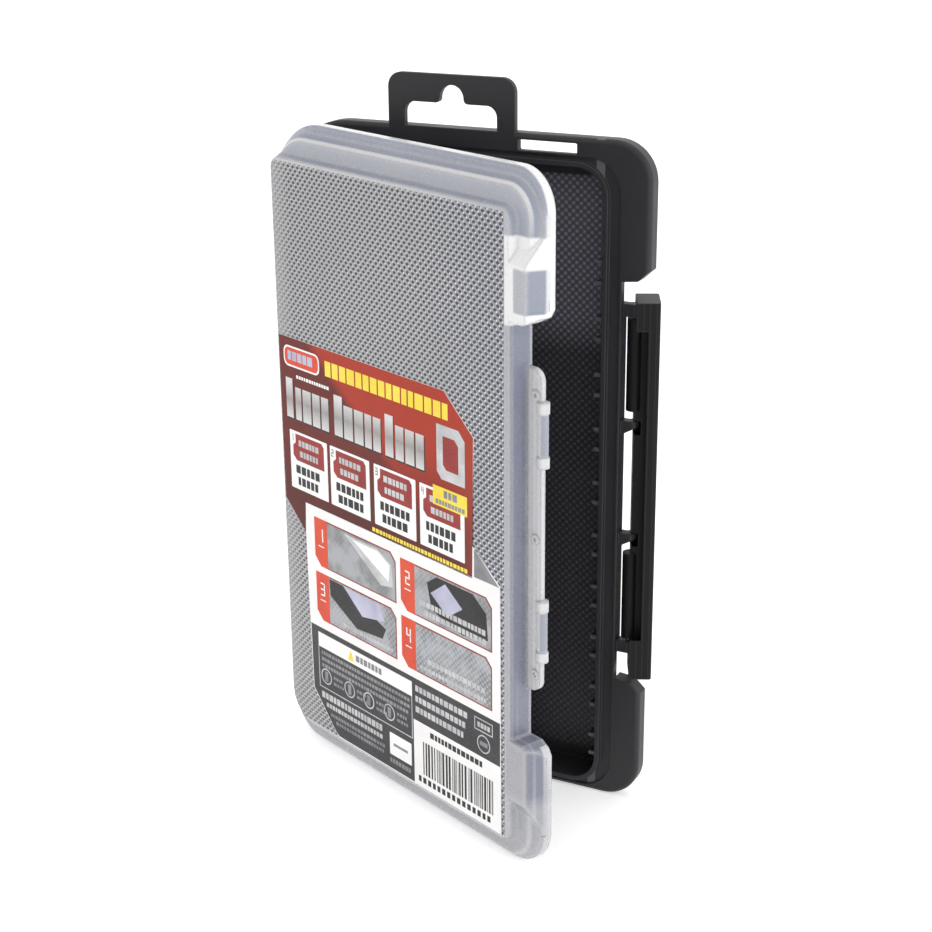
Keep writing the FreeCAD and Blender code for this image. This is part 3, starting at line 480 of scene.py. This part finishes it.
def prism(bm, outline, level, thickness):
    """Extrude an outline of (x, z) corners until its front face stands level mm before the seam."""
    face = bm.faces.new([bm.verts.new((x, -level + thickness, z)) for x, z in outline])
    grown = bmesh.ops.extrude_face_region(bm, geom=[face])
    front = [item for item in grown["geom"] if isinstance(item, bmesh.types.BMVert)]
    bmesh.ops.translate(bm, verts=front, vec=(0, -thickness, 0))


def add_print(name, bm, material):
    """Place a bmesh given in closed-lid mm as one piece of the sticker, riding on the lid."""
    bmesh.ops.recalc_face_normals(bm, faces=bm.faces)
    bm.transform(LID)
    mesh = bpy.data.meshes.new(name)
    bm.to_mesh(mesh)
    bm.free()
    mesh.materials.append(material)
    piece = bpy.data.objects.new(name, mesh)
    bpy.context.scene.collection.objects.link(piece)
    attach(piece, "lid")


def plate(name, outline, material, level, round_mm=0.0):
    """One printed shape, its corners rounded by round_mm."""
    bm = bmesh.new()
    prism(bm, outline, level, PLATE_THICKNESS)
    if round_mm:
        through = [edge for edge in bm.edges
                   if abs(edge.verts[0].co.x - edge.verts[1].co.x) < 1e-6
                   and abs(edge.verts[0].co.z - edge.verts[1].co.z) < 1e-6]
        bmesh.ops.bevel(bm, geom=through, offset=round_mm, segments=4, profile=0.5,
                        affect="EDGES", clamp_overlap=True)
    add_print(name, bm, material)


def bars(name, outlines, material, level):
    """Many small flat shapes in one piece."""
    bm = bmesh.new()
    for outline in outlines:
        prism(bm, outline, level, BAR_THICKNESS)
    add_print(name, bm, material)


def quad(x0, x1, z0, z1):
    """Upright rectangle as four (x, z) corners."""
    return [(x0, z0), (x1, z0), (x1, z1), (x0, z1)]


def word_row(x0, x1, z0, height, seed, gap=0.5, narrow=1.1, wide=2.4):
    """Row of plain blocks of uneven width, standing where a line of print would be."""
    row, x, k = [], x0, seed
    while x < x1 - narrow:
        k = (k * 73 + 41) % 101
        width = min(narrow + (wide - narrow) * k / 100.0, x1 - x)
        row.append(quad(x, x + width, z0, z0 + height))
        x += width + gap
    return row


def clipped(x0, x1, z0, z1, upper_right, lower_left=0.0):
    """Rectangle with its upper right and lower left corners cut off."""
    outline = [(x0 + lower_left, z0), (x1, z0), (x1, z1 - upper_right),
               (x1 - upper_right, z1), (x0, z1)]
    return outline + [(x0, z0 + lower_left)] if lower_left else outline


def ring(name, x, z, radius, width, material, level):
    """Flat round ring printed on the sticker."""
    sides = 20

    def circle(r):
        return [(x + r * math.cos(a), z + r * math.sin(a))
                for a in (2 * math.pi * k / sides for k in range(sides))]
    outer, inner = circle(radius), circle(radius - width)
    bars(name, [[outer[k], outer[(k + 1) % sides], inner[(k + 1) % sides], inner[k]]
                for k in range(sides)], material, level)


# Strokes of a segment numeral: a top, b and c right, d foot, e and f left, g middle.
NUMERAL_STROKES = {1: "bc", 2: "abged", 3: "abgcd", 4: "fgbc"}


def numeral(number, x, z, width, height, stroke):
    """Plain segment numeral as quads, lower left corner at (x, z)."""
    middle = z + height / 2
    top = z + height
    places = {"a": (x, x + width, top - stroke, top), "d": (x, x + width, z, z + stroke),
              "g": (x, x + width, middle - stroke / 2, middle + stroke / 2),
              "b": (x + width - stroke, x + width, middle, top),
              "c": (x + width - stroke, x + width, z, middle),
              "e": (x, x + stroke, z, middle), "f": (x, x + stroke, middle, top)}
    return [quad(*places[key]) for key in NUMERAL_STROKES[number]]


def sticker_panels():
    """Red and white fields, the grey corner between them and the dark panel at the foot."""
    plate("sticker_red_panel", [(5.05, 72.8), (13.85, 65.05), (14.3, 73.7), (83.8, 73.7),
                                (84.5, 109.75), (73.75, 118.85), (4.85, 118.85)],
          RED, L1)
    plate("sticker_white_panel", [(14.15, 65.0), (15.0, 18.9), (24.5, 8.8), (26.1, 7.7),
                                  (94.0, 7.7), (93.9, 74.2), (14.4, 73.7)],
          WHITE, L1)
    plate("sticker_grey_corner", [(84.5, 74.3), (93.7, 74.4), (84.5, 81.7)],
          GREY, L1)
    plate("sticker_dark_panel", [(14.7, 38.5), (15.0, 19.0), (24.5, 8.8), (26.1, 7.8), (59.6, 7.8),
                                 (59.6, 26.4), (93.9, 26.4), (93.9, 38.3)],
          CHARCOAL, L2)


def sticker_heading():
    """Heading area: rounded tag, caption lines, headline blocks and a cut-corner plate."""
    plate("sticker_tag_edge", quad(6.9, 22.9, 110.9, 116.6), BRIGHT, L2, 1.9)
    plate("sticker_tag", quad(7.4, 22.4, 111.4, 116.1), SCARLET, L3, 1.6)
    bars("sticker_tag_bar", word_row(8.8, 21.2, 112.7, 2.5, 19, 0.4, 1.5, 2.2), LILAC, L4)
    words = []
    for x0, x1, seed in ((7.4, 26.4, 5), (28.9, 48.6, 9), (50.4, 68.9, 14)):
        words += word_row(x0, x0 + 3.6, 96.6, 11.0, seed, 0.6, 3.0, 3.6)
        words += word_row(x0 + 4.2, x1, 96.6, 9.0, seed, 0.65, 2.6, 3.9)
    shadow = [[(x + 0.35, z - 0.45) for x, z in corners] for corners in words]
    bars("sticker_headline_back", shadow, DARK, L2)
    bars("sticker_headline", words, SILVER, L3)
    bars("sticker_yellow_line", word_row(25.4, 75.2, 111.7, 4.1, 11, 0.55, 2.0, 3.4), YELLOW, L2)
    bars("sticker_small_line", word_row(12.3, 27.4, 108.1, 0.9, 3, 0.3, 0.6, 1.2), BRIGHT, L2)
    plate("sticker_plate", clipped(70.8, 81.4, 96.2, 110.1, 2.3, 1.8), PLATE_GREY, L2)
    plate("sticker_plate_inset", clipped(73.2, 79.0, 98.9, 107.4, 1.4, 1.2), CRIMSON, L3)


def sticker_boxes():
    """Four white boxes: numbered notch, crimson heading plate and two lines of blocks."""
    for i, (x0, x1) in enumerate(((8.2, 25.1), (26.4, 43.4), (45.3, 62.3), (63.9, 81.1))):
        name = str(i + 1)
        plate("sticker_box_" + name, quad(x0, x1, 76.7, 93.1), BRIGHT, L2, 0.25)
        plate("sticker_box_heading_" + name,
              [(x0 + 2.9, 84.9), (x1 - 1.5, 84.9), (x1 - 1.5, 91.4), (x1 - 2.5, 92.4),
               (x0 + 2.6, 92.4), (x0 + 2.6, 89.9), (x0 + 1.4, 89.0), (x0 + 1.4, 86.2)],
              CRIMSON, L3)
        bars("sticker_box_words_" + name,
             word_row(x0 + 4.0, x1 - 3.6, 89.2, 1.7, 7 + i, 0.35, 0.9, 1.6)
             + word_row(x0 + 4.4, x1 - 4.2, 86.2, 1.7, 17 + i, 0.35, 0.9, 1.6), PLATE_GREY, L4)
        bars("sticker_box_text_" + name,
             word_row(x0 + 2.4, x1 - 2.2, 81.3, 2.3, 9 + i, 0.45, 1.2, 2.1)
             + word_row(x0 + 3.2, x1 - 3.0, 78.0, 2.3, 23 + i, 0.45, 1.2, 2.1), DARK, L3)
        bars("sticker_number_" + name, numeral(i + 1, x0 + 0.6, 90.2, 1.0, 2.0, 0.28), GREY, L3)
    bars("sticker_yellow_tag", [quad(69.2, 82.2, 89.0, 94.1)], YELLOW, L4 + 0.01)
    bars("sticker_yellow_tag_words", word_row(73.4, 78.4, 91.6, 1.9, 4, 0.4, 1.1, 1.9)
         + word_row(70.2, 81.6, 89.5, 1.2, 6, 0.25, 0.7, 1.2), GREY, L4 + 0.03)
    bars("sticker_note_line", word_row(44.0, 82.5, 74.3, 1.1, 13, 0.3, 0.7, 1.3), YELLOW, L2)


def sticker_pictures():
    """Four picture tiles with numbered strips; the pictures are plain shapes only."""
    tiles = ((18.0, 53.5, 57.0, 70.8), (55.4, 91.1, 56.4, 70.4),
             (18.0, 53.3, 41.0, 55.0), (55.4, 91.0, 40.6, 54.5))
    for i, (x0, x1, z0, z1) in enumerate(tiles):
        name = str(i + 1)
        plate("sticker_picture_edge_" + name, clipped(x0, x1, z0, z1, 2.2, 2.6),
              CRIMSON, L2)
        plate("sticker_picture_" + name, clipped(x0 + 5.8, x1 - 0.4, z0 + 0.4, z1 - 0.4, 2.1),
              TILES[i], L3)
        plate("sticker_picture_strip_" + name,
              [(x0 + 2.6, z0), (x0 + 5.8, z0), (x0 + 5.8, z1), (x0, z1), (x0, z0 + 2.6)],
              SCARLET, L4)
        bars("sticker_picture_number_" + name,
             numeral(i + 1, x0 + 2.0, z1 - 6.6, 1.9, 3.8, 0.45)
             + [quad(x0 + 1.7, x0 + 4.2, z1 - 8.1, z1 - 7.8)], BRIGHT, L4 + 0.02)
    plate("sticker_sheet_1", [(31.5, 69.8), (46.0, 69.8), (51.6, 67.2), (52.4, 61.0), (47.0, 60.0)],
          PLATE_GREY, L3 + 0.01)
    plate("sticker_sheet_light_1", [(35.0, 69.2), (46.0, 69.2), (51.0, 66.8), (50.4, 62.0)],
          BRIGHT, L4)
    plate("sticker_pouch_2", [(68.0, 60.0), (66.2, 67.0), (70.0, 69.6), (84.0, 69.6), (89.0, 66.0),
                              (89.6, 59.0), (80.0, 57.2)],
          DARK, L3 + 0.01)
    plate("sticker_pad_2", [(67.6, 64.6), (74.2, 60.2), (80.0, 64.2), (73.4, 68.8)],
          LILAC, L4)
    plate("sticker_tray_3", [(24.0, 54.4), (24.4, 49.6), (36.0, 43.8), (47.2, 44.8), (48.8, 48.0),
                             (30.0, 54.4)],
          DARK, L3 + 0.01)
    plate("sticker_pad_3", [(30.5, 54.3), (38.6, 48.2), (48.2, 50.0), (46.0, 54.4)],
          LILAC, L4)
    bars("sticker_picture_words", word_row(63.0, 89.0, 60.0, 1.5, 33, 0.3, 0.9, 1.8)
         + word_row(65.0, 89.6, 57.6, 1.5, 38, 0.3, 0.9, 1.8)
         + word_row(30.0, 51.6, 42.4, 1.1, 45, 0.3, 0.7, 1.5)
         + word_row(66.0, 89.0, 44.4, 1.4, 49, 0.3, 0.9, 1.8)
         + word_row(63.0, 89.0, 42.0, 1.1, 51, 0.3, 0.7, 1.5), PLATE_GREY, L4 + 0.02)


def sticker_small_print():
    """Foot of the sticker: banner, framed notes with round signs, chip, stripes."""
    bars("sticker_banner", [quad(17.9, 59.2, 32.6, 36.9)], BRIGHT, L3)
    bars("sticker_banner_words", word_row(35.0, 46.5, 33.9, 1.8, 71, 0.4, 1.0, 1.8), GREY, L4)
    plate("sticker_banner_sign", [(31.4, 33.3), (34.2, 33.3), (32.8, 36.2)], YELLOW, L4)
    bars("sticker_frame_line", [quad(17.7, 18.0, 20.6, 32.6), quad(58.9, 59.2, 20.2, 32.6),
                                quad(17.7, 59.2, 20.3, 20.6)], PLATE_GREY, L3)
    rows = []
    for k in range(3):
        rows += word_row(19.2, 58.2, 30.6 - 1.9 * k, 1.0, 41 + k, 0.3, 0.6, 1.4)
    for x0 in (24.4, 35.0, 43.6, 52.6):
        rows += word_row(x0, x0 + 4.6, 24.6, 0.9, 47, 0.3, 0.6, 1.2)
        rows += word_row(x0, x0 + 4.6, 22.8, 0.9, 52, 0.3, 0.6, 1.2)
    bars("sticker_small_words", rows, GREY, L3)
    for k, x in enumerate((21.1, 31.7, 40.3, 49.3)):
        ring("sticker_sign_%d" % (k + 1), x, 24.2, 2.4, 0.4, PLATE_GREY, L3)
        bars("sticker_sign_bar_%d" % (k + 1), [quad(x - 0.7, x + 0.7, 22.7, 25.7)], GREY, L3)
    bars("sticker_lower_words", word_row(18.6, 47.0, 17.2, 1.9, 53, 0.35, 0.9, 1.7)
         + word_row(20.6, 46.8, 14.9, 1.3, 57, 0.3, 0.7, 1.4), PLATE_GREY, L3)
    bars("sticker_lowest_words", word_row(22.6, 47.0, 12.6, 1.0, 59, 0.3, 0.6, 1.3)
         + word_row(24.8, 47.0, 10.9, 1.0, 63, 0.3, 0.6, 1.3)
         + word_row(49.2, 58.4, 9.6, 1.3, 66, 0.3, 0.7, 1.4), GREY, L3)
    plate("sticker_white_chip", quad(49.2, 58.5, 12.0, 18.5), BRIGHT, L3, 0.2)
    bars("sticker_white_chip_bar", [quad(50.8, 56.9, 14.9, 15.7)], GREY, L4)
    rows = []
    for k in range(3):
        rows += word_row(60.6, 81.5 - 0.6 * k, 34.8 - 3.0 * k, 1.7, 61 + k, 0.35, 0.9, 1.7)
    bars("sticker_band_words", rows, PLATE_GREY, L3)
    bars("sticker_mark_frame", [quad(84.2, 91.2, 36.6, 36.9), quad(84.2, 91.2, 33.4, 33.7),
                                quad(84.2, 84.5, 33.7, 36.6), quad(90.9, 91.2, 33.7, 36.6)],
         PLATE_GREY, L3)
    bars("sticker_mark_bar", word_row(85.4, 90.4, 34.4, 1.4, 73, 0.3, 0.8, 1.3), PLATE_GREY, L3)
    ring("sticker_mark_round", 87.7, 30.2, 2.5, 0.35, PLATE_GREY, L3)
    bars("sticker_mark_round_bar", [quad(86.2, 89.2, 29.6, 30.8)], GREY, L3)
    bars("sticker_barcode_title", word_row(66.4, 87.6, 23.4, 1.6, 67, 0.35, 0.9, 1.7), DARK, L2)
    # generic bar pattern: uneven plain stripes that encode nothing
    stripes, pale_stripes, x, k = [], [], 63.4, 29
    while x < 90.8:
        k = (k * 37 + 11) % 97
        width = 0.25 + 0.55 * (k % 4) / 3.0
        (pale_stripes if k % 3 == 0 else stripes).append(quad(x, x + width, 11.6, 21.2))
        x += width + 0.22 + 0.34 * (k % 3) / 2.0
    bars("sticker_stripes", stripes, DARK, L2)
    bars("sticker_stripes_grey", pale_stripes, GREY, L2)
    bars("sticker_stripe_blocks", word_row(61.4, 91.0, 9.0, 1.7, 77, 0.7, 1.1, 1.4), DARK, L2)


def sticker():
    sticker_panels()
    sticker_heading()
    sticker_boxes()
    sticker_pictures()
    sticker_small_print()


sticker()


# ---------------------------------------------------------------- stage, light, camera

def backdrop():
    """White paper sweep: flat floor, quarter-round rise and wall behind the object."""
    mesh = bpy.data.meshes.new("studio_sweep")
    bm = bmesh.new()
    bend, rise, half_width, steps = 1.6, 0.8, 8.0, 12
    profile = [(-12.0, 0.0), (bend, 0.0)]
    profile += [(bend + rise * math.sin(a), rise - rise * math.cos(a))
                for a in (math.pi / 2 * k / steps for k in range(1, steps + 1))]
    profile.append((bend + rise, 3.2))
    rows = [[bm.verts.new((x, y, z)) for x in (-half_width, half_width)] for y, z in profile]
    for lower, upper in zip(rows[:-1], rows[1:]):
        bm.faces.new((lower[0], lower[1], upper[1], upper[0]))
    bmesh.ops.recalc_face_normals(bm, faces=bm.faces)
    bm.to_mesh(mesh)
    bm.free()
    for polygon in mesh.polygons:
        polygon.use_smooth = True
    n = Nodes("studio_paper")
    fibre = n.noise(n.case_vector(BASE), 0.02, 2.0)
    n.plain(Base_Color=n.mix(fibre, (0.90, 0.90, 0.90), (0.92, 0.92, 0.92)), Roughness=0.9,
            Emission_Color=(1.0, 1.0, 1.0, 1.0), Emission_Strength=0.42)
    mesh.materials.append(n.material)
    sweep = bpy.data.objects.new("studio_sweep", mesh)
    bpy.context.scene.collection.objects.link(sweep)


def area_light(name, place, target, width, height, power):
    light = bpy.data.lights.new(name, "AREA")
    light.shape = "RECTANGLE"
    light.size, light.size_y = width, height
    light.energy = power
    item = bpy.data.objects.new(name, light)
    item.location = place
    item.rotation_euler = (Vector(target) - Vector(place)).to_track_quat("-Z", "Y").to_euler()
    bpy.context.scene.collection.objects.link(item)


def studio():
    backdrop()
    world = bpy.data.worlds.new("studio_world")
    world.use_nodes = True
    world.node_tree.nodes["Background"].inputs[0].default_value = (1.0, 1.0, 1.0, 1.0)
    world.node_tree.nodes["Background"].inputs[1].default_value = 0.72
    bpy.context.scene.world = world
    middle = (0.0, 0.0, 0.09)
    area_light("key_left", (-0.75, -0.95, 0.85), middle, 0.7, 0.7, 1.2)
    area_light("side_right", (0.95, -0.25, 0.45), middle, 0.35, 0.8, 3.0)
    area_light("top_soft", (0.1, -0.1, 1.2), middle, 0.9, 0.9, 3.0)


def camera():
    """Camera at the photo's angle: above, to the right, with a slight roll."""
    azimuth, elevation, roll = (math.radians(v) for v in (27.24, 19.56, -0.54))
    back = Vector((math.sin(azimuth) * math.cos(elevation),
                   -math.cos(azimuth) * math.cos(elevation), math.sin(elevation)))
    right = Vector((0, 0, 1)).cross(back).normalized()
    up = back.cross(right)
    turned_right = right * math.cos(roll) + up * math.sin(roll)
    turned_up = up * math.cos(roll) - right * math.sin(roll)
    data = bpy.data.cameras.new("photo_camera")
    data.sensor_width = 36.0
    data.lens = 70.4294
    data.clip_start = 0.01
    item = bpy.data.objects.new("photo_camera", data)
    basis = Matrix((turned_right, turned_up, back)).transposed().to_4x4()
    place = (Vector((259.57, -400.74, 247.08)) - ORIGIN) * MM
    item.matrix_world = Matrix.Translation(place) @ basis
    bpy.context.scene.collection.objects.link(item)
    bpy.context.scene.camera = item


studio()
camera()
bpy.context.scene.view_settings.view_transform = "Standard"
